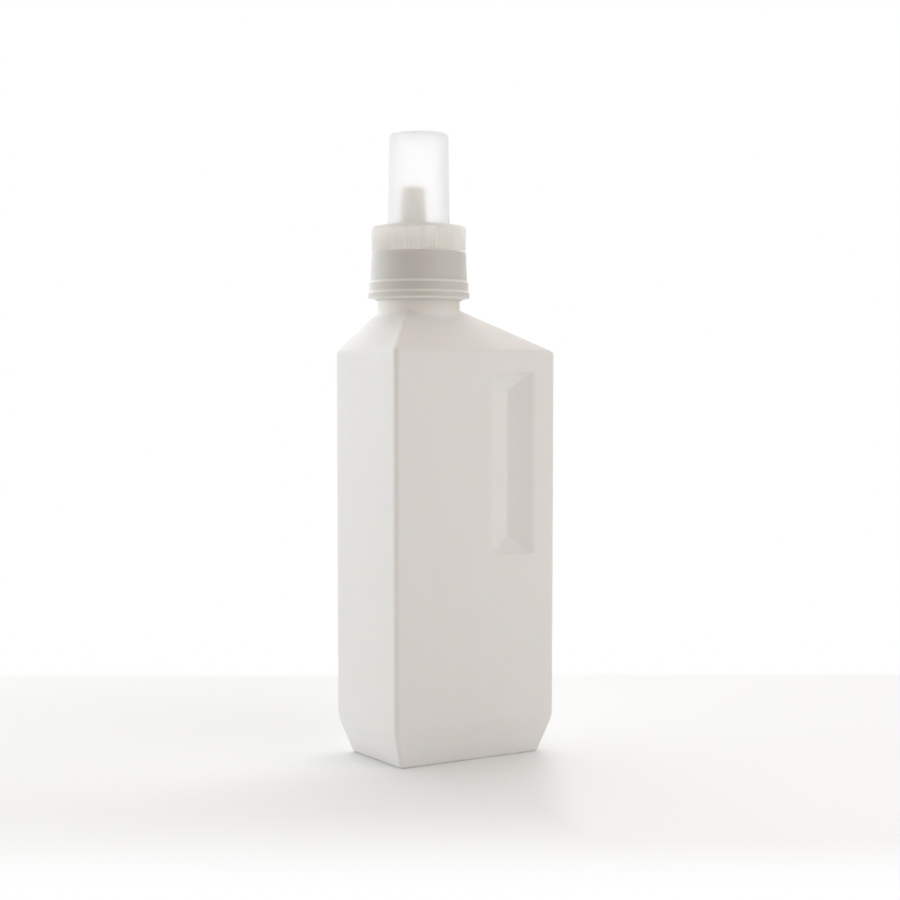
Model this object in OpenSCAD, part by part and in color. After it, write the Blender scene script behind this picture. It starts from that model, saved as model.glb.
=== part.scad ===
// Refillable laundry detergent bottle: a blow-moulded bottle, a screw-on pouring collar and a
// measuring cap. Millimetres. The origin is the centre of the base and Z is up. X runs along the
// long side, with the neck towards the front at -X, and Y runs across the narrow side.

/* [Body] */
// Length of the body at the shoulder line
body_len = 93; // [84:0.5:120]
// Width of the body at the shoulder line
body_wid = 59.5; // [54:0.5:76]
// Height of the shoulder line above the base
shoulder_z = 201; // [150:1:260]
// Draft of each side wall, from the shoulder line down to the base chamfer
body_draft = 0.3; // [0:0.05:1.5]
// Radius of the upright edges
edge_r = 2.5; // [1:0.25:6]
// Wall of the body
body_wall = 1.1; // [0.8:0.1:2]

/* [Base] */
// Height of the chamfer round the base
chamfer_h = 18.1; // [8:0.1:30]
// Inset of the base chamfer at the front and rear ends
chamfer_end = 6; // [2:0.1:10]
// Inset of the base chamfer at the two long sides
chamfer_side = 4.9; // [2:0.1:8]
// Thickness of the floor
floor_t = 1.4; // [1:0.1:3]
// Width of the flat ring that the bottle stands on
foot_w = 6; // [4:0.5:10]
// Height of the push-up inside the foot ring
pushup_h = 2; // [1:0.1:4]
// Slant of the push-up's wall, measured inwards
pushup_slant = 3; // [1:0.5:6]
// Width of the notch across the foot ring, where the mould pinched the base shut
pinch_w = 1.8; // [1:0.1:3]
// Height of that notch
pinch_h = 0.9; // [0.4:0.1:0.9]

/* [Shoulder and neck] */
// Rise from the shoulder line to the foot of the neck
shoulder_rise = 20.3; // [14:0.1:30]
// Distance of the neck axis from the front end
neck_setback = 31.1; // [28:0.1:42]
// Outer radius of the neck
neck_r = 20.36; // [17:0.02:22]
// Wall of the neck
neck_wall = 1.66; // [1.2:0.02:2.4]
// Height of bare neck between its foot and the collar
neck_show = 5.95; // [4:0.05:12]
// Reach of the blend between the shoulder and the neck
neck_blend = 1; // [0.8:0.1:3]
// Flatness of the facets in front of the neck and beside it: 0 for a level neck foot, 1 for planes
facet_flat = 0.4; // [0:0.05:1]

/* [Grip recess] */
// Width of the recess across its rim
grip_wid = 26.8; // [16:0.2:30]
// Length of the recess along its rim
grip_len = 91.6; // [60:0.1:110]
// Depth of the recess at its valley
grip_depth = 5.6; // [2:0.1:8]
// Length of the hipped facet at each end of the recess
grip_hip = 9.8; // [5:0.1:15]
// Distance of the rim from the rear end of the body
grip_setback = 12; // [9:0.1:22]
// Distance of the rim below the shoulder line
grip_drop = 9.2; // [6:0.1:24]

/* [Spout collar] */
// Radial room between the neck and the collar, which the screw threads take up
thread_room = 0.94; // [0.6:0.02:1.4]
// Wall of the collar's band at its foot
collar_wall = 2.65; // [2:0.05:4]
// Draft of the band over its height
band_draft = 0.65; // [0:0.05:0.8]
// Height of the band
band_h = 13.95; // [10:0.05:20]
// Step from the band out to the ring below it
ring_step = 0.55; // [0.4:0.05:2]
// Height of the ring
ring_h = 4.1; // [2:0.1:8]
// Step from the ring out to the flange at the foot
flange_step = 0.6; // [0.4:0.05:1.5]
// Height of the flange
flange_h = 2.5; // [1.5:0.05:5]
// Height of the sloped ledge above the ring and above the flange
ledge_h = 0.9; // [0.4:0.1:1.5]
// Depth of the seal lip under the flange
seal_drop = 1; // [0.3:0.1:2]
// Width of the seal lip where it meets the flange
seal_w = 1.2; // [0.5:0.1:1.6]
// Length that the collar's outer edges are softened to each side
collar_soft = 0.2; // [0.1:0.05:0.25]
// Thickness of the deck that closes the neck
deck_t = 1.6; // [1:0.1:2.4]
// Height of the band's top above the deck
band_rise = 1.2; // [0.5:0.1:4]
// Depth of the plug lip inside the neck
plug_len = 6; // [3:0.5:12]
// Wall of the plug lip
plug_wall = 1.3; // [0.8:0.1:2]
// Radial room between the plug lip and the neck's bore
plug_room = 0.3; // [0.2:0.05:0.6]
// Wall of the upper part that the cap screws on
upper_wall = 1.5; // [1:0.1:2.5]

/* [Spout] */
// Outer radius of the spout at the deck
spout_r = 7.3; // [6:0.1:8]
// Draft of the spout over its height
spout_draft = 1.7; // [0:0.1:2]
// Wall of the spout
spout_wall = 1.1; // [0.8:0.1:1.6]
// Height of the spout's tip above the deck
spout_h = 33.3; // [20:0.1:38]
// Room between the front of the spout and the cup around it
spout_room = 3.3; // [2:0.1:6]
// Radius that rounds off the rear of the spout's tip
spout_round = 4.5; // [2:0.1:5]
// Width of the drain slot at the rear of the spout
drain_w = 4; // [2:0.1:6]
// Height of the drain slot above the deck
drain_h = 9; // [4:0.5:14]

/* [Measuring cap] */
// Radial room between the collar's upper part and the cap's skirt, for the screw threads
cap_room = 0.8; // [0.5:0.05:1.2]
// Wall of the skirt, over the ribs
skirt_wall = 1.5; // [1.2:0.1:2.5]
// Height of the skirt
skirt_h = 12.45; // [8:0.05:18]
// Gap between the collar's band and the skirt
skirt_gap = 0.5; // [0.3:0.1:1.5]
// Rounding of the skirt's top edge
skirt_round = 1.6; // [0.6:0.1:1.7]
// Step from the band's top edge in to the skirt
skirt_step = 0.1; // [0:0.05:1]
// Number of ribs round the skirt
rib_count = 90; // [40:1:120]
// Depth of the grooves between the ribs
rib_depth = 0.35; // [0.1:0.05:0.6]
// Thickness of the ledge between the skirt and the cup
ledge_t = 1.8; // [1.2:0.1:3]
// Width of the ledge between the skirt and the cup
ledge_w = 8; // [5:0.05:9]
// Height of the cup above the ledge
cup_h = 45.6; // [36:0.1:60]
// Draft of the cup over its height
cup_draft = 0.5; // [0:0.05:2]
// Wall of the cup
cup_wall = 1.45; // [1:0.05:2]
// Rounding of the cup's top edge
cup_round = 2; // [0.8:0.1:3]
// Gap between the cup's pouring lip and the deck
lip_gap = 3.4; // [1:0.1:5]

/* [Hidden] */
$fn = 96;

// Overrun of every cutting solid past the face that it opens
over = 1;
// Steps round an upright edge, along a softened bend and across the blend at the neck
edge_steps = 4;
bend_steps = 3;
blend_steps = 6;
// Corner of a ring where its flat cap starts, within a rounded edge and off every straight side
cap_start = 2;
// Steps between two upright edges on a long side, the front end and the rear end
long_steps = 11;
front_steps = 9;
rear_steps = 6;
// Width of a groove between two ribs, as a share of their pitch
groove_share = 0.48;
// Length that a bend softens to each side of the foot, the chamfer's top and the shoulder line
foot_soft = 1.6;
chamfer_soft = 2.5;
shoulder_soft = 1.3;
// Height above the collar's foot at which the skinned shoulder turns into the round neck
neck_lap = 1;
// Step in from the moulded neck to the skinned shoulder, inside the collar
neck_seam = 0.12;
// Length that the recess softens at its rim, and half the width of its valley
rim_soft = 1.4;
valley_half = 0.5;

half_len = body_len / 2;
half_wid = body_wid / 2;
neck_x = neck_setback - half_len;
bore_r = neck_r - neck_wall;
neck_foot_z = shoulder_z + shoulder_rise;
// Slope of the shoulder behind the neck, where it is shallowest
rear_slope = atan(shoulder_rise / (half_len - neck_x - neck_r));

// The collar's outside is stacked up from the neck, and its deck sits on the neck's rim
collar_bore_r = neck_r + thread_room;
band_r = collar_bore_r + collar_wall;
band_top_r = band_r - band_draft;
ring_r = band_r + ring_step;
flange_r = ring_r + flange_step;
flange_z = neck_foot_z + neck_show;
ring_z = flange_z + flange_h + ledge_h;
band_z = ring_z + ring_h + ledge_h;
band_top_z = band_z + band_h;
deck_top_z = band_top_z - band_rise;
rim_z = deck_top_z - deck_t;
plug_r = bore_r - plug_room;

// The cap's ledge sits on the collar's upper part
skirt_r = band_top_r - skirt_step;
skirt_bore_r = skirt_r - skirt_wall;
upper_r = skirt_bore_r - cap_room;
skirt_z = band_top_z + skirt_gap;
ledge_top_z = skirt_z + skirt_h;
ledge_z = ledge_top_z - ledge_t;
cup_r = skirt_r - ledge_w;
cup_top_z = ledge_top_z + cup_h;
lip_z = deck_top_z + lip_gap;
spout_x = neck_x - (cup_r - cup_wall - spout_r - spout_room);
tip_z = deck_top_z + spout_h;

// Places along one side, as shares of its length, that lie at even angles seen from the neck axis.
// The side runs from start to end at a distance off from the axis.
function even_angles(start, end, off, steps) = [
    for (i = [1 : steps - 1])
        let (turn = atan(start / off) + (atan(end / off) - atan(start / off)) * i / steps)
            (off * tan(turn) - start) / (end - start)
];

flat_len = half_len - edge_r;
flat_wid = half_wid - edge_r;
side_shares = [
    even_angles(flat_len - neck_x, -flat_len - neck_x, half_wid, long_steps),
    even_angles(flat_wid, -flat_wid, half_len + neck_x, front_steps),
    even_angles(-flat_len - neck_x, flat_len - neck_x, half_wid, long_steps),
    even_angles(-flat_wid, flat_wid, half_len - neck_x, rear_steps)
];

function corner_sign(c) = [c == 0 || c == 3 ? 1 : -1, c < 2 ? 1 : -1];
function corner_centre(c, hx, hy, r) = [corner_sign(c).x * (hx - r), corner_sign(c).y * (hy - r)];
function heading(angle) = [cos(angle), sin(angle)];

// Outline of a rectangle with rounded corners, anticlockwise, with extra points along its sides
function rounded_rect(hx, hy, r) = [
    for (c = [0 : 3])
        let (
            here = corner_centre(c, hx, hy, r),
            next = corner_centre((c + 1) % 4, hx, hy, r),
            side = r * heading(90 * (c + 1))
        )
            each concat(
                [for (i = [0 : edge_steps]) here + r * heading(90 * (c + i / edge_steps))],
                [for (share = side_shares[c]) here + side + share * (next - here)]
            )
];

// Level section of the body: a profile point gives its half length, half width and height
function level_ring(p) = [for (q = rounded_rect(p[0], p[1], edge_r)) [q.x, q.y, p[2]]];

// Softened bend at b in the line from a to c
function bend(a, b, c, soft) =
    let (
        from = b + soft * (a - b) / norm(a - b),
        to = b + soft * (c - b) / norm(c - b)
    )
        [for (i = [0 : bend_steps])
            let (t = i / bend_steps) (1 - t) * (1 - t) * from + 2 * t * (1 - t) * b + t * t * to];

// The larger of two radii, eased from one into the other
function eased_max(a, b, reach) = max(a, b) + pow(max(reach - abs(a - b), 0), 2) / (4 * reach);

// Rise of a line of the shoulder that starts at a distance from the neck axis. A ridge's line has the
// full rise, and the shorter lines in front of the neck and beside it rise less.
function line_rise(far, ridge_far, throat_r) =
    let (plane = (1 - throat_r / far) / (1 - throat_r / ridge_far))
        shoulder_rise * (1 - facet_flat * max(1 - plane, 0));

// Sections of the bottle from its base to the root of the neck, offset inwards by a wall.
// Above the shoulder line straight lines run in from the shoulder's outline to the foot of the neck,
// so its four ridges start sharp and fade as they rise, and each line eases into the neck.
function bottle_rings(wall, floor_z, throat_r) =
    let (
        line_z = shoulder_z - wall * (1 / cos(rear_slope) - tan(rear_slope)),
        top = [half_len - wall, half_wid - wall, line_z],
        knee = [top.x - body_draft, top.y - body_draft, chamfer_h],
        lean = (chamfer_h - floor_z) / chamfer_h,
        foot = [knee.x - lean * chamfer_end, knee.y - lean * chamfer_side, floor_z],
        centre = [0, 0, floor_z],
        axis = [neck_x, 0],
        spokes = [for (q = rounded_rect(top.x, top.y, edge_r)) q - axis],
        ridge_far = norm([top.x + neck_x, top.y])
    )
        concat(
            [for (p = bend(centre, foot, knee, foot_soft)) level_ring(p)],
            [for (p = bend(foot, knee, top, chamfer_soft)) level_ring(p)],
            [for (i = [0 : bend_steps])
                let (
                    t = 2 * i / bend_steps,
                    z = line_z + (t - 1) * shoulder_soft
                )
                    [for (q = spokes)
                        let (
                            far = norm(q),
                            share = t * t * shoulder_soft / (4 * line_rise(far, ridge_far, throat_r)),
                            keep = 1 - share * (1 - throat_r / far)
                        )
                            [neck_x + keep * q.x, keep * q.y, z]]],
            [for (i = [0 : blend_steps])
                let (
                    line_r = throat_r + neck_blend * (1 - 2 * i / blend_steps),
                    r = eased_max(line_r, throat_r, neck_blend)
                )
                    [for (q = spokes)
                        let (
                            far = norm(q),
                            rise = line_rise(far, ridge_far, throat_r),
                            z = line_z + rise * (far - line_r) / (far - throat_r)
                        )
                            [neck_x + q.x * r / far, q.y * r / far, z]]],
            [[for (q = spokes)
                [neck_x + q.x * throat_r / norm(q), q.y * throat_r / norm(q), flange_z + 2 * neck_lap]]]
        );

// Solid skinned over a stack of rings with equal numbers of points
module skin(rings) {
    count = len(rings[0]);
    last = len(rings) - 1;
    walls = [
        for (k = [0 : last - 1])
            for (i = [0 : count - 1])
                let (
                    j = (i + 1) % count,
                    a = k * count + i,
                    b = k * count + j
                )
                    each [[a, a + count, b + count], [a, b + count, b]]
    ];
    lower = [for (i = [0 : count - 1]) (i + cap_start) % count];
    upper = [for (i = [0 : count - 1]) last * count + (cap_start - i + count) % count];
    polyhedron(points = [for (ring = rings) each ring], faces = concat([lower, upper], walls), convexity = 6);
}

// Share of the recess's depth at a share of the way in from its rim, softened at the rim
function recess_share(u, soft) =
    let (gain = 1 / (1 - soft / 2)) u < soft ? gain * u * u / (2 * soft) : gain * (u - soft / 2);

// Hipped trough cut into the long side at -Y, shifted inwards by a wall
module grip_recess(wall) {
    half = grip_wid / 2;
    soft = rim_soft / half;
    inner = 1 - valley_half / half;
    ways = [0, soft / 3, 2 * soft / 3, soft, inner];
    mid_z = shoulder_z - grip_drop - grip_len / 2;
    lean = atan(body_draft / (shoulder_z - chamfer_h));
    face_y = half_wid - (shoulder_z - mid_z) * tan(lean) - wall;
    function trough_ring(u, depth) =
        let (
            hx = half * (1 - u),
            hz = grip_len / 2 - grip_hip * u
        )
            [[hx, depth, hz], [hx, depth, -hz], [-hx, depth, -hz], [-hx, depth, hz]];
    rings = concat(
        [trough_ring(0, -over)],
        [for (u = ways) trough_ring(u, grip_depth * recess_share(u, soft))]
    );
    translate([half_len - grip_setback - half, -face_y, mid_z])
        rotate([lean, 0, 0])
            skin(rings);
}

module both_recesses(wall) {
    grip_recess(wall);
    mirror([0, 1, 0])
        grip_recess(wall);
}

// Hollow under the base, inside the foot ring
module pushup(lift) {
    hx = half_len - body_draft - chamfer_end - foot_w;
    hy = half_wid - body_draft - chamfer_side - foot_w;
    mouth = [hx, hy, 0];
    roof = [hx - pushup_slant, hy - pushup_slant, pushup_h];
    translate([0, 0, lift])
        skin([level_ring(mouth - [0, 0, over]), level_ring(mouth), level_ring(roof)]);
}

// Notch along the base seam, with sloped sides; only the foot ring reaches down to it
module pinch_notch() {
    crown = pinch_w / 4;
    translate([-half_len, 0, 0])
        rotate([90, 0, 90])
            linear_extrude(body_len)
                polygon([
                    [-pinch_w / 2 - crown, -over],
                    [pinch_w / 2 + crown, -over],
                    [pinch_w / 2, 0],
                    [crown, pinch_h],
                    [-crown, pinch_h],
                    [-pinch_w / 2, 0]
                ]);
}

module on_neck_axis() {
    translate([neck_x, 0, 0])
        children();
}

// Blow-moulded bottle: one wall that follows every recess
module bottle() {
    color([0.95, 0.945, 0.93])
        difference() {
            union() {
                difference() {
                    skin(bottle_rings(0, 0, neck_r - neck_seam));
                    both_recesses(0);
                    pushup(0);
                    pinch_notch();
                }
                on_neck_axis()
                    translate([0, 0, flange_z + neck_lap])
                        cylinder(r = neck_r, h = rim_z - flange_z - neck_lap);
            }
            difference() {
                skin(bottle_rings(body_wall, floor_t, bore_r - neck_seam));
                both_recesses(body_wall);
                pushup(floor_t);
            }
            on_neck_axis()
                translate([0, 0, flange_z])
                    cylinder(r = bore_r, h = rim_z - flange_z + over);
        }
}

// Section of the collar: seal lip, flange, ring and band outside, deck, plug lip and upper part inside
module collar_section() {
    seal_foot = [collar_bore_r, flange_z - seal_drop];
    seal_root = [collar_bore_r + seal_w, flange_z];
    flange_low = [flange_r, flange_z];
    flange_high = [flange_r, flange_z + flange_h];
    ring_low = [ring_r, ring_z];
    ring_high = [ring_r, ring_z + ring_h];
    band_low = [band_r, band_z];
    band_high = [band_top_r, band_top_z];
    head = [collar_bore_r, band_top_z];
    polygon(concat(
        [seal_foot, seal_root],
        bend(seal_root, flange_low, flange_high, collar_soft),
        bend(flange_low, flange_high, ring_low, collar_soft),
        [ring_low],
        bend(ring_low, ring_high, band_low, collar_soft),
        [band_low],
        bend(band_low, band_high, head, collar_soft),
        [head]
    ));
    translate([0, rim_z])
        square([collar_bore_r, deck_t]);
    translate([upper_r - upper_wall, rim_z])
        square([upper_wall, ledge_z - rim_z]);
    translate([upper_r - upper_wall, rim_z])
        square([collar_bore_r - upper_r + upper_wall, band_top_z - rim_z]);
    translate([plug_r - plug_wall, rim_z - plug_len])
        square([plug_wall, plug_len]);
}

// Side view of the spout, with the rear of its tip rounded off
module spout_side() {
    rear_r = spout_r - spout_draft * (1 - spout_round / (tip_z - rim_z));
    translate([-spout_r, rim_z])
        square([spout_r + rear_r - spout_round, tip_z - rim_z]);
    translate([-spout_r, rim_z])
        square([2 * spout_r, tip_z - spout_round - rim_z]);
    translate([rear_r - spout_round, tip_z - spout_round])
        circle(r = spout_round);
}

module spout() {
    translate([0, 0, rim_z])
        cylinder(r1 = spout_r, r2 = spout_r - spout_draft, h = tip_z - rim_z);
}

module spout_bore() {
    bore = spout_r - spout_wall;
    translate([0, 0, rim_z - over])
        cylinder(r1 = bore, r2 = bore - spout_draft, h = tip_z - rim_z + 2 * over);
}

// Injection-moulded collar with its pouring spout
module spout_collar() {
    color([0.9, 0.89, 0.87])
        difference() {
            union() {
                on_neck_axis()
                    rotate_extrude()
                        collar_section();
                translate([spout_x, 0, 0])
                    intersection() {
                        spout();
                        rotate([90, 0, 0])
                            translate([0, 0, -spout_r])
                                linear_extrude(2 * spout_r)
                                    spout_side();
                    }
            }
            translate([spout_x, 0, 0])
                spout_bore();
            translate([spout_x, -drain_w / 2, deck_top_z])
                cube([spout_r + over, drain_w, drain_h]);
        }
}

// Outline of the grooves that leave the skirt's ribs between them
module groove_outline() {
    pitch = 360 / rib_count;
    for (i = [0 : rib_count - 1])
        polygon([
            (skirt_r - rib_depth) * heading(pitch * i),
            (skirt_r + rib_depth) * heading(pitch * (i - groove_share)),
            (skirt_r + rib_depth) * heading(pitch * (i + groove_share))
        ]);
}

// Half section of a turned block with a rounded top edge
module turned_block(r, low_z, high_z, edge) {
    translate([0, low_z])
        square([r, high_z - low_z - edge]);
    translate([0, low_z])
        square([r - edge, high_z - low_z]);
    translate([r - edge, high_z - edge])
        circle(r = edge);
}

// Section of the skirt and the ledge, up to the middle of the cup's wall
module skirt_section() {
    difference() {
        turned_block(skirt_r, skirt_z, ledge_top_z, skirt_round);
        translate([0, skirt_z - over])
            square([skirt_bore_r, ledge_z - skirt_z + over]);
        translate([0, skirt_z])
            square([cup_r - cup_wall / 2, skirt_h + over]);
    }
}

// Section of the cup, from its pouring lip to its closed top
module cup_section() {
    draft_rate = cup_draft / cup_h;
    lip_r = cup_r + draft_rate * (ledge_top_z - lip_z);
    top_r = cup_r - cup_draft;
    edge_z = cup_top_z - cup_round;
    roof_z = cup_top_z - cup_wall;
    roof_r = top_r + draft_rate * cup_wall - cup_wall;
    difference() {
        union() {
            polygon([
                [0, lip_z],
                [lip_r, lip_z],
                [top_r + draft_rate * cup_round, edge_z],
                [0, edge_z]
            ]);
            translate([0, edge_z])
                square([top_r - cup_round, cup_round]);
            translate([top_r - cup_round, edge_z])
                circle(r = cup_round);
        }
        polygon([
            [0, lip_z - over],
            [lip_r + draft_rate * over - cup_wall, lip_z - over],
            [roof_r, roof_z],
            [0, roof_z]
        ]);
    }
}

// Injection-moulded frosted cap: ribbed skirt, ledge and dosing cup
module measuring_cap() {
    color([0.93, 0.94, 0.95, 0.6])
        on_neck_axis() {
            difference() {
                rotate_extrude()
                    skirt_section();
                translate([0, 0, skirt_z - over])
                    linear_extrude(skirt_h - skirt_round + over)
                        groove_outline();
            }
            rotate_extrude()
                cup_section();
        }
}

bottle();
spout_collar();
measuring_cap();
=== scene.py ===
# %% [markdown]
# # Laundry detergent bottle
# A blow-moulded bottle, a moulded spout collar and a frosted measuring cap are already solid and at
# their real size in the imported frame. This lesson dresses them: clean shading over soft edges, screw
# threads, the finish of each plastic, a pale floor and soft studio light. Everything is in metres, with
# +Z up, and MM turns a size in millimetres into metres.

# %% The frame
import math

import bmesh
import bpy
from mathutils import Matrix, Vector


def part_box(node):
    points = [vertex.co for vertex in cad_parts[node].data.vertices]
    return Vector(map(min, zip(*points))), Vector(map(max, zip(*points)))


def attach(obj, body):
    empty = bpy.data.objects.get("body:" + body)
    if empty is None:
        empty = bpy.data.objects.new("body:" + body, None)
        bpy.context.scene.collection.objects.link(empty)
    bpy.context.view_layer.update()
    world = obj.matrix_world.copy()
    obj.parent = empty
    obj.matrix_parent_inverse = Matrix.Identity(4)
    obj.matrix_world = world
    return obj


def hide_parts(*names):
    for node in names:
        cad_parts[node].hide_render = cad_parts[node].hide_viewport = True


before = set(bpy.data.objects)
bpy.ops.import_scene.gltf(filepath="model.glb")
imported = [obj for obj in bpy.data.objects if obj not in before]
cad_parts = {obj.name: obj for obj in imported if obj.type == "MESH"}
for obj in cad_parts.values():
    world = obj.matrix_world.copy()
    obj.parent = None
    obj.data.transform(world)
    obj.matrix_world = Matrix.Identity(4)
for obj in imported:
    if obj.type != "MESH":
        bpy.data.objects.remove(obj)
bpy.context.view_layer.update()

MM = 0.001
scene = bpy.context.scene
scene.view_settings.view_transform = "Standard"
print("frame loaded:", ", ".join(sorted(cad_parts)))

# %% [markdown]
# ## The camera
# The photograph's edges give the camera: about half-way up the bottle and turned so that the narrow
# front and one long side both show. An empty could be tracked, but a heading, a dip and a distance are
# easier to read. The lens is a short telephoto, so upright edges stay nearly parallel.

# %% Camera
CAMERA_HEADING = math.radians(32.25)
CAMERA_DIP = math.radians(2.056)
CAMERA_REACH = 877.0 * MM
CAMERA_ASIDE = 2.4 * MM
CAMERA_HEIGHT = 183.4 * MM
CAMERA_LENS = 70.02

ahead = Vector((math.sin(CAMERA_HEADING), math.cos(CAMERA_HEADING), 0.0))
aside = Vector((ahead.y, -ahead.x, 0.0))
lens = bpy.data.cameras.new("photo_camera")
lens.lens = CAMERA_LENS
lens.sensor_width = 36.0
camera = bpy.data.objects.new("photo_camera", lens)
camera.location = aside * CAMERA_ASIDE - ahead * CAMERA_REACH + Vector((0.0, 0.0, CAMERA_HEIGHT))
camera.rotation_euler = (math.pi / 2 - CAMERA_DIP, 0.0, -CAMERA_HEADING)
scene.collection.objects.link(camera)
scene.camera = camera
print("camera at", tuple(round(value, 3) for value in camera.location))

# %% [markdown]
# ## Sums on shader wires
# A material here is a small graph of nodes. Adding each Math node by hand buries the idea, so one
# class wraps an output socket: an expression such as `1 - mask * 0.2` then adds the Math nodes by
# itself, and one method adds any other node, with its settings first and its inputs after.

# %% Shader wires
class Wire:
    """An output socket of a material's graph that takes part in sums."""

    def __init__(self, tree, socket=None):
        self.tree = tree
        self.socket = socket

    def add(self, kind, settings=None, inputs=None, output=0):
        """Adds a node of one kind and returns the wire that leaves the chosen output."""
        node = self.tree.nodes.new(kind)
        for name, value in (settings or {}).items():
            setattr(node, name, value)
        for name, value in (inputs or {}).items():
            if isinstance(value, Wire):
                self.tree.links.new(value.socket, node.inputs[name])
            else:
                node.inputs[name].default_value = value
        return Wire(self.tree, node.outputs[output] if node.outputs else None)

    def sum(self, operation, first, second):
        return self.add("ShaderNodeMath", {"operation": operation}, {0: first, 1: second})

    def __add__(self, other):
        return self.sum("ADD", self, other)

    def __sub__(self, other):
        return self.sum("SUBTRACT", self, other)

    def __rsub__(self, other):
        return self.sum("SUBTRACT", other, self)

    def __mul__(self, other):
        return self.sum("MULTIPLY", self, other)

    __radd__ = __add__
    __rmul__ = __mul__


def new_material(name):
    """An empty material and the wire that adds nodes to it."""
    material = bpy.data.materials.new(name)
    material.use_nodes = True
    material.node_tree.nodes.clear()
    return material, Wire(material.node_tree)


def noise(graph, place, scale, stretch=(1.0, 1.0, 1.0), detail=2.0):
    """Noise from 0 to 1 with about `scale` blobs per metre, drawn out along an axis by `stretch`."""
    drawn = graph.add("ShaderNodeMapping", None, {"Vector": place, "Scale": stretch})
    return graph.add("ShaderNodeTexNoise", None, {"Vector": drawn, "Scale": scale, "Detail": detail})


def mixed_colour(graph, share, first, second):
    """A colour that goes from the first to the second as `share` goes from 0 to 1."""
    return graph.add("ShaderNodeMix", {"data_type": "RGBA"},
                     {"Factor": share, 6: first, 7: second}, output=2)


def tinted(graph, share, low, high):
    """The same between two plain colours of red, green and blue."""
    return mixed_colour(graph, share, (*low, 1.0), (*high, 1.0))


def height_of(graph, place):
    """The wire of the height above the floor."""
    return graph.add("ShaderNodeSeparateXYZ", None, {"Vector": place}, output="Z")


def ramp(graph, value, start, end, low=0.0, high=1.0, kind="LINEAR"):
    """Goes from `low` to `high` as a value goes from the start to the end, and stays there."""
    return graph.add("ShaderNodeMapRange", {"interpolation_type": kind}, {
        "Value": value, "From Min": start, "From Max": end, "To Min": low, "To Max": high})


print("shader wires ready")

# %% [markdown]
# ## Blow-moulded polyethylene
# The bottle's wall is a milky, warm white plastic with a satin skin. Light sinks about a millimetre
# into it, so the wall is given subsurface scattering and is a real shell, 1 mm thick. The tube of hot
# plastic slides past a die before it is blown, which leaves faint upright streaks, and the mould's
# sand-blasted skin leaves a very fine grain. Both are noise on Object coordinates: the streaks are
# drawn out along Z, and the grain only disturbs the normal. The neck is thicker than the body and has
# the collar's plug behind it, so less light comes through it. From its foot up, painted shade makes
# the neck's colour a little darker and warmer.

# %% Bottle plastic
STREAKS_PER_METRE = 260.0
WAVES_PER_METRE = 45.0
GRAIN_PER_METRE = 2600.0
NECK_FOOT = 221.3 * MM
NECK_FADE = 1.5 * MM


def blown_plastic():
    material, graph = new_material("blown_polyethylene")
    place = graph.add("ShaderNodeTexCoord", output="Object")
    streaks = noise(graph, place, STREAKS_PER_METRE, stretch=(1.0, 1.0, 0.03))
    waves = noise(graph, place, WAVES_PER_METRE, stretch=(1.0, 1.0, 0.35))
    grain = noise(graph, place, GRAIN_PER_METRE, detail=1.0)
    mottle = streaks * 0.6 + waves * 0.4
    thin = tinted(graph, mottle, (0.868, 0.863, 0.855), (0.90, 0.896, 0.89))
    # Painted shade: the neck's colour is darker and warmer than the body's, for the shade under the
    # collar.
    painted_neck_shade = tinted(graph, mottle, (0.825, 0.80, 0.762), (0.855, 0.83, 0.792))
    height = height_of(graph, place)
    # The painted shade fades in from the neck's foot up.
    neck_shade_share = ramp(graph, height, NECK_FOOT - NECK_FADE, NECK_FOOT + NECK_FADE)
    colour = mixed_colour(graph, neck_shade_share, thin, painted_neck_shade)
    relief = streaks * 0.10 + waves * 0.3 + grain * 0.02
    bump = graph.add("ShaderNodeBump", None, {"Strength": 0.35, "Distance": 0.5 * MM, "Height": relief})
    shader = graph.add("ShaderNodeBsdfPrincipled", {"subsurface_method": "RANDOM_WALK"}, {
        "Base Color": colour,
        "Roughness": 0.42 + streaks * 0.10,
        "IOR": 1.5,
        "Subsurface Weight": 0.6,
        "Subsurface Radius": (1.0, 0.85, 0.7),
        "Subsurface Scale": 0.8 * MM,
        "Normal": bump,
    })
    graph.add("ShaderNodeOutputMaterial", None, {"Surface": shader})
    return material


bottle_finish = blown_plastic()
print("finish made:", bottle_finish.name)

# %% [markdown]
# ## Moulded polypropylene
# The collar is injection-moulded: denser, smoother and a shade darker than the bottle. Light enters it
# and comes out again where it is thin, so the ledges above its flange and its ring and the lip under
# the flange look lighter than the walls between them. A mask on the height paints that light into the
# base colour there: a painted glow along the two ledges and the lip. Its mould is turned on a lathe,
# so what little texture it has is fine and even.

# %% Collar plastic
# Heights of the collar's lip and two ledges, where light is painted into the base colour.
PAINTED_LIGHT_HEIGHTS = (226.75 * MM, 230.2 * MM, 235.2 * MM)
PAINTED_LIGHT_HALF = 0.45 * MM
PAINTED_LIGHT_FADE = 0.35 * MM
COLLAR_CLOUDS_PER_METRE = 120.0
COLLAR_GRAIN_PER_METRE = 3200.0


def painted_light_share(graph, place):
    """1 where light is painted along the collar's lip and two ledges, fading to 0 on its walls."""
    height = height_of(graph, place)
    distances = [graph.sum("ABSOLUTE", height - middle, 0.0) for middle in PAINTED_LIGHT_HEIGHTS]
    lip, lower_ledge, upper_ledge = [
        ramp(graph, distance, PAINTED_LIGHT_HALF, PAINTED_LIGHT_HALF + PAINTED_LIGHT_FADE, low=1.0, high=0.0)
        for distance in distances
    ]
    return lip + lower_ledge + upper_ledge


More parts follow.
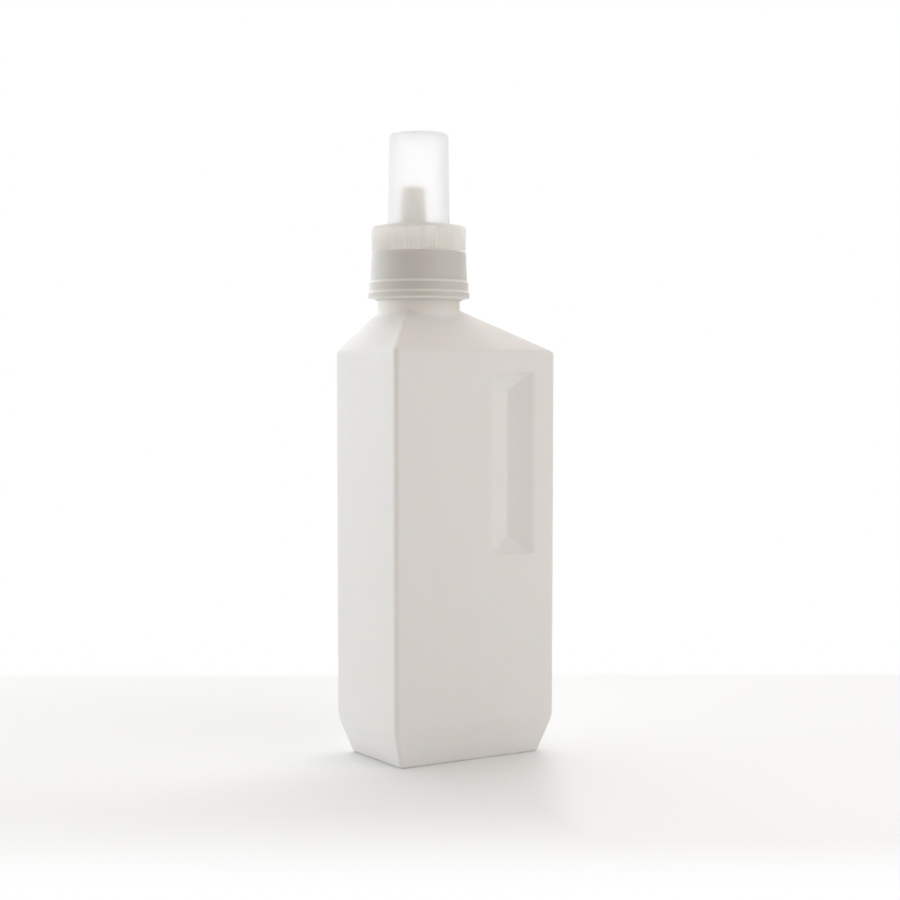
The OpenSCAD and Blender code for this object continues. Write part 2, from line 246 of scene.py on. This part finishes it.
def moulded_plastic():
    material, graph = new_material("moulded_polypropylene")
    place = graph.add("ShaderNodeTexCoord", output="Object")
    cloud = noise(graph, place, COLLAR_CLOUDS_PER_METRE)
    grain = noise(graph, place, COLLAR_GRAIN_PER_METRE, detail=1.0)
    wall = tinted(graph, cloud, (0.645, 0.632, 0.612), (0.675, 0.662, 0.642))
    # Painted light: the lighter colour of the lip and the ledges, for light glowing through them.
    edge = tinted(graph, cloud, (0.81, 0.80, 0.765), (0.83, 0.82, 0.785))
    colour = mixed_colour(graph, painted_light_share(graph, place), wall, edge)
    bump = graph.add("ShaderNodeBump", None, {"Strength": 0.2, "Distance": 0.1 * MM, "Height": grain})
    shader = graph.add("ShaderNodeBsdfPrincipled", None, {
        "Base Color": colour,
        "Roughness": 0.34 + cloud * 0.08,
        "IOR": 1.49,
        "Subsurface Weight": 0.7,
        "Subsurface Radius": (1.0, 0.85, 0.7),
        "Subsurface Scale": 1.8 * MM,
        "Normal": bump,
    })
    graph.add("ShaderNodeOutputMaterial", None, {"Surface": shader})
    return material


collar_finish = moulded_plastic()
print("finish made:", collar_finish.name)

# %% [markdown]
# ## Frosted polypropylene
# The cap is clear plastic with a frosted skin, so the spout shows through it as a soft shape. A rough
# transmission does that by itself: the roughness sets how blurred the spout is, and a fine grain in
# the bump breaks up what gloss is left. The refraction is kept lower than that of solid plastic,
# because a thin milky wall darkens less towards its edges than clear glass does. The skirt is thicker
# than the cup and looks milkier, so up to the ledge a milky share is mixed in by height. That share has
# two sides: a skin that is lit from outside, and a glow that comes through from behind. The ledge is
# seen from above, so it has more of the skin, and the skirt, with light behind it, has more of the glow.

# %% Cap plastic
CAP_CLOUDS_PER_METRE = 160.0
CAP_GRAIN_PER_METRE = 3000.0
LEDGE_TOP = 262.55 * MM
SKIRT_MILK = 0.45
LEDGE_MILK = 0.8
SKIRT_GLOW = 0.85
LEDGE_GLOW = 0.45
GLOW_TINT = (1.0, 0.988, 0.968, 1.0)


def frosted_plastic():
    material, graph = new_material("frosted_polypropylene")
    place = graph.add("ShaderNodeTexCoord", output="Object")
    cloud = noise(graph, place, CAP_CLOUDS_PER_METRE)
    grain = noise(graph, place, CAP_GRAIN_PER_METRE, detail=1.0)
    bump = graph.add("ShaderNodeBump", None, {"Strength": 0.05, "Distance": 0.1 * MM, "Height": grain})
    clear = graph.add("ShaderNodeBsdfPrincipled", None, {
        "Base Color": tinted(graph, cloud, (0.985, 0.985, 0.983), (0.995, 0.995, 0.993)),
        "Roughness": 0.46 + cloud * 0.05,
        "IOR": 1.28,
        "Transmission Weight": 1.0,
        "Normal": bump,
    })
    white = tinted(graph, cloud, (0.95, 0.945, 0.93), (0.98, 0.975, 0.96))
    glow = graph.add("ShaderNodeBsdfTranslucent", None, {"Color": GLOW_TINT, "Normal": bump})
    skin = graph.add("ShaderNodeBsdfPrincipled", None, {
        "Base Color": white, "Roughness": 0.4 + cloud * 0.05, "Normal": bump})
    above_ledge = height_of(graph, place) - LEDGE_TOP
    from_behind = ramp(graph, above_ledge, -1.5 * MM, -0.3 * MM, low=SKIRT_GLOW, high=LEDGE_GLOW)
    milky = graph.add("ShaderNodeMixShader", None, {0: from_behind, 1: skin, 2: glow})
    milk = ramp(graph, above_ledge, -2.0 * MM, -0.5 * MM, low=SKIRT_MILK, high=LEDGE_MILK)
    below_cup = ramp(graph, above_ledge, 0.0, 2.0 * MM, low=1.0, high=0.0)
    mixed = graph.add("ShaderNodeMixShader", None, {0: milk * below_cup, 1: clear, 2: milky})
    graph.add("ShaderNodeOutputMaterial", None, {"Surface": mixed})
    return material


cap_finish = frosted_plastic()
print("finish made:", cap_finish.name)

# %% [markdown]
# ## From a CAD node to a shown piece
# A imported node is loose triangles. A copy is welded, and triangles that lie in one plane are dissolved
# into one face, because normals weighted by area only keep a panel flat where the panel is one large
# face beside the narrow strips of its rounded edges. Edges sharper than a limit stay crisp.

# %% Helpers for pieces
WELD = 0.001 * MM
FLAT = math.radians(0.15)
CRISP = math.radians(38.0)


def copy_of(node):
    """A welded bmesh copy of a CAD node's mesh, with each flat panel as one face."""
    shape = bmesh.new()
    shape.from_mesh(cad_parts[node].data)
    bmesh.ops.remove_doubles(shape, verts=shape.verts, dist=WELD)
    bmesh.ops.dissolve_limit(shape, angle_limit=FLAT, verts=shape.verts, edges=shape.edges)
    return shape


def shown(name, shape, finish, body):
    """Turns a bmesh into a shaded piece that rides on a body."""
    for face in shape.faces:
        face.smooth = True
    for edge in shape.edges:
        edge.smooth = edge.calc_face_angle(0.0) < CRISP
    mesh = bpy.data.meshes.new(name)
    shape.to_mesh(mesh)
    shape.free()
    mesh.materials.append(finish)
    piece = bpy.data.objects.new(name, mesh)
    scene.collection.objects.link(piece)
    even = piece.modifiers.new("even_normals", "WEIGHTED_NORMAL")
    even.mode = "FACE_AREA"
    even.keep_sharp = True
    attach(piece, body)
    print(f"{name}: {len(mesh.polygons)} faces on {body}")
    return piece


# %% [markdown]
# ## The three mouldings
# Each moulding keeps the form of its CAD node, so the copy stands in for the node and only its shading
# and finish are new.

# %% Mouldings
bottle = shown("bottle_wall", copy_of("bottle"), bottle_finish, "bottle")
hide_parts("bottle")
collar = shown("collar_shell", copy_of("spout_collar"), collar_finish, "collar")
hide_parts("spout_collar")
cap = shown("cap_shell", copy_of("measuring_cap"), cap_finish, "cap")
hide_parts("measuring_cap")

# %% [markdown]
# ## Screw threads
# The collar screws onto the neck and the cap onto the collar, and each thread shows when the piece over
# it is lifted off. A thread is one small trapezoid swept along a helix, which spin does with a step up
# at each turn; its two ends are then drawn into the wall, as a moulded thread runs out. The crests
# of a pair stay apart, so that a cap that is lifted straight up doesn't cut through its collar.

# %% Threads
THREAD_FOOT = 0.9 * MM
THREAD_CREST = 0.35 * MM
THREAD_STEPS = 48
ROOT_IN = 0.15 * MM
NECK_R = 20.36 * MM
NECK_PITCH = 4.0 * MM
COLLAR_BORE_R = 21.30 * MM
COLLAR_UPPER_R = 20.90 * MM
CAP_PITCH = 3.6 * MM
cap_low, cap_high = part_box("measuring_cap")
neck_x = (cap_low[0] + cap_high[0]) / 2


def thread(name, wall_r, crest_r, start_z, pitch, turns, finish, body):
    """A helical ridge that stands on a wall of one radius and reaches another."""
    outwards = math.copysign(1.0, crest_r - wall_r)
    root_r = wall_r - outwards * ROOT_IN
    ridge = bmesh.new()
    section = [
        ridge.verts.new((neck_x + root_r, 0.0, start_z - THREAD_FOOT)),
        ridge.verts.new((neck_x + crest_r, 0.0, start_z - THREAD_CREST)),
        ridge.verts.new((neck_x + crest_r, 0.0, start_z + THREAD_CREST)),
        ridge.verts.new((neck_x + root_r, 0.0, start_z + THREAD_FOOT)),
    ]
    face = ridge.faces.new(section)
    steps = round(THREAD_STEPS * turns)
    swept = bmesh.ops.spin(ridge, geom=[*section, *face.edges, face], cent=(neck_x, 0.0, 0.0),
                           axis=(0.0, 0.0, 1.0), dvec=(0.0, 0.0, pitch / THREAD_STEPS),
                           angle=math.tau * turns, steps=steps, use_duplicate=False)
    ends = [section, [item for item in swept["geom_last"] if isinstance(item, bmesh.types.BMVert)]]
    for end in ends:
        middle = sum((corner.co for corner in end), Vector()) / len(end)
        inwards = Vector((neck_x - middle.x, -middle.y, 0.0)).normalized() * outwards
        bmesh.ops.translate(ridge, verts=end, vec=inwards * abs(crest_r - wall_r))
    bmesh.ops.recalc_face_normals(ridge, faces=ridge.faces)
    return shown(name, ridge, finish, body)


thread("neck_thread", NECK_R, NECK_R + 0.54 * MM, 233.0 * MM, NECK_PITCH, 2.25,
       bottle_finish, "bottle")
thread("collar_bore_thread", COLLAR_BORE_R, COLLAR_BORE_R - 0.30 * MM, 235.0 * MM, NECK_PITCH, 1.5,
       collar_finish, "collar")
thread("collar_top_thread", COLLAR_UPPER_R, COLLAR_UPPER_R + 0.50 * MM, 252.6 * MM, CAP_PITCH, 1.5,
       collar_finish, "collar")

# %% [markdown]
# ## Floor and backdrop
# The floor is a pale sheet that takes the bottle's soft shadow. Behind the bottle it fades to the
# white of the backdrop along a straight line, as a lit table edge does, and in front and far out to
# the sides it fades to the same white. To the right of the bottle part of that white is mixed in as
# painted light, which lifts the shadow that the lamps on the left cast there. The white is shown to
# the camera and never lights the bottle.

# %% Floor
FLOOR_REACH = 4.0
FLOOR_TINT = (0.92, 0.945, 0.965, 1.0)
FADE_START = 215.0 * MM
FADE_END = 245.0 * MM
FRONT_START = -110.0 * MM
FRONT_END = -250.0 * MM
# Where painted light lifts the floor's shadow to the right of the bottle.
RIGHT_START = 38.0 * MM
RIGHT_END = 64.0 * MM
RIGHT_PAINTED_LIGHT = 0.45
SIDE_START = 350.0 * MM
SIDE_END = 600.0 * MM
SEEN = ("Is Camera Ray", "Is Glossy Ray", "Is Transmission Ray")


def light_path(graph, output):
    """The wire of one output of a Light Path node."""
    return graph.add("ShaderNodeLightPath", output=output)


def seen_share(graph):
    """1 for rays that are seen straight on, mirrored or through the cap, and 0 for all others."""
    camera_ray, glossy_ray, transmission_ray = [light_path(graph, kind) for kind in SEEN]
    return graph.sum("MINIMUM", camera_ray + glossy_ray + transmission_ray, 1.0)


def pale_floor():
    material, graph = new_material("pale_floor")
    place = graph.add("ShaderNodeTexCoord", output="Object")
    turned = graph.add("ShaderNodeMapping", None, {
        "Vector": place, "Rotation": (0.0, 0.0, CAMERA_HEADING)})
    to_right = graph.add("ShaderNodeSeparateXYZ", None, {"Vector": turned}, output="X")
    to_back = graph.add("ShaderNodeSeparateXYZ", None, {"Vector": turned}, output="Y")
    to_side = graph.sum("ABSOLUTE", to_right, 0.0)
    backdrop_and_painted_light = ramp(graph, to_back, FADE_START, FADE_END, kind="SMOOTHSTEP")
    for place_on_floor, start, end, share in (
        (to_back, FRONT_START, FRONT_END, 1.0),
        (to_side, SIDE_START, SIDE_END, 1.0),
        # painted light: part of the white lifts the shadow to the right of the bottle
        (to_right, RIGHT_START, RIGHT_END, RIGHT_PAINTED_LIGHT),
    ):
        fade = ramp(graph, place_on_floor, start, end, high=share, kind="SMOOTHSTEP")
        backdrop_and_painted_light = graph.sum("MAXIMUM", backdrop_and_painted_light, fade)
    lit = graph.add("ShaderNodeBsdfPrincipled", None, {"Base Color": FLOOR_TINT, "Roughness": 0.7})
    white = graph.add("ShaderNodeEmission", None, {"Color": (1.0, 1.0, 1.0, 1.0), "Strength": 1.0})
    mixed = graph.add("ShaderNodeMixShader", None, {0: seen_share(graph) * backdrop_and_painted_light, 1: lit, 2: white})
    graph.add("ShaderNodeOutputMaterial", None, {"Surface": mixed})
    return material


sheet = bmesh.new()
bmesh.ops.create_grid(sheet, x_segments=1, y_segments=1, size=FLOOR_REACH)
floor_mesh = bpy.data.meshes.new("floor")
sheet.to_mesh(floor_mesh)
sheet.free()
floor_mesh.materials.append(pale_floor())
floor = bpy.data.objects.new("floor", floor_mesh)
scene.collection.objects.link(floor)
print("floor laid")

# %% [markdown]
# ## Light
# The photograph is lit high and soft: a large neutral light to the left and a little behind, a weaker
# one to the right, light from above, and only the warm room in front. Each lamp is a large area light
# that faces the bottle. Lamps are hidden from rays that pass through the frosted cap, which shows the
# plain white backdrop instead.

# %% Lamps
AIM = Vector((0.0, 0.0, 0.16))
NEUTRAL = (1.0, 1.0, 1.0)
COOL = (0.85, 0.95, 1.0)


def soft_lamp(name, heading, rise, distance, size, strength, colour):
    """An area lamp that faces the bottle; headings are counted from +X towards +Y."""
    turn = math.radians(heading)
    lift = math.radians(rise)
    lamp_data = bpy.data.lights.new(name, "AREA")
    lamp_data.shape = "RECTANGLE"
    lamp_data.size, lamp_data.size_y = size
    lamp_data.energy = strength
    lamp_data.color = colour
    lamp = bpy.data.objects.new(name, lamp_data)
    reach = Vector((math.cos(turn) * math.cos(lift), math.sin(turn) * math.cos(lift), math.sin(lift)))
    lamp.location = AIM + reach * distance
    lamp.rotation_euler = reach.to_track_quat("Z", "Y").to_euler()
    lamp.visible_camera = False
    lamp.visible_transmission = False
    scene.collection.objects.link(lamp)
    print(f"{name}: {strength} W")
    return lamp


soft_lamp("left_light", 162.0, 14.0, 1.4, (1.3, 0.9), 4.1, NEUTRAL)
soft_lamp("back_left_light", 120.0, 16.0, 1.4, (1.9, 1.1), 8.4, COOL)
soft_lamp("front_right_light", 300.0, 4.0, 0.8, (0.7, 0.3), 1.1, NEUTRAL)
soft_lamp("high_right_light", 285.0, 45.0, 1.3, (1.1, 1.1), 3.8, NEUTRAL)
soft_lamp("high_back_light", 56.0, 44.0, 1.5, (1.9, 1.9), 11.4, NEUTRAL)
soft_lamp("top_light", 59.0, 78.0, 1.3, (1.4, 1.4), 5.5, NEUTRAL)

# %% [markdown]
# ## The room around it
# The world is white where it is seen, and gives a dim warm light otherwise. What stands inside the
# frosted cap gets no lamp, since lamps are hidden there, so rays that leave it through the cap find a
# brighter, warmer room that makes up for them.

# %% World
AMBIENT = (0.18, 0.128, 0.082, 1.0)
WHITE = (1.0, 1.0, 1.0, 1.0)
INSIDE_CAP = (1.415, 1.375, 1.30, 1.0)

world = bpy.data.worlds.new("white_room")
scene.world = world
world.use_nodes = True
world.node_tree.nodes.clear()
room = Wire(world.node_tree)
scattered = room.sum("MINIMUM", light_path(room, "Diffuse Depth"), 1.0)
inside = light_path(room, "Is Transmission Ray") * scattered
dim, white, warm = [
    room.add("ShaderNodeBackground", None, {"Color": colour, "Strength": 1.0})
    for colour in (AMBIENT, WHITE, INSIDE_CAP)
]
bright = room.add("ShaderNodeMixShader", None, {0: inside, 1: white, 2: warm})
mixed_room = room.add("ShaderNodeMixShader", None, {0: seen_share(room), 1: dim, 2: bright})
room.add("ShaderNodeOutputWorld", None, {"Surface": mixed_room})
print("world set")
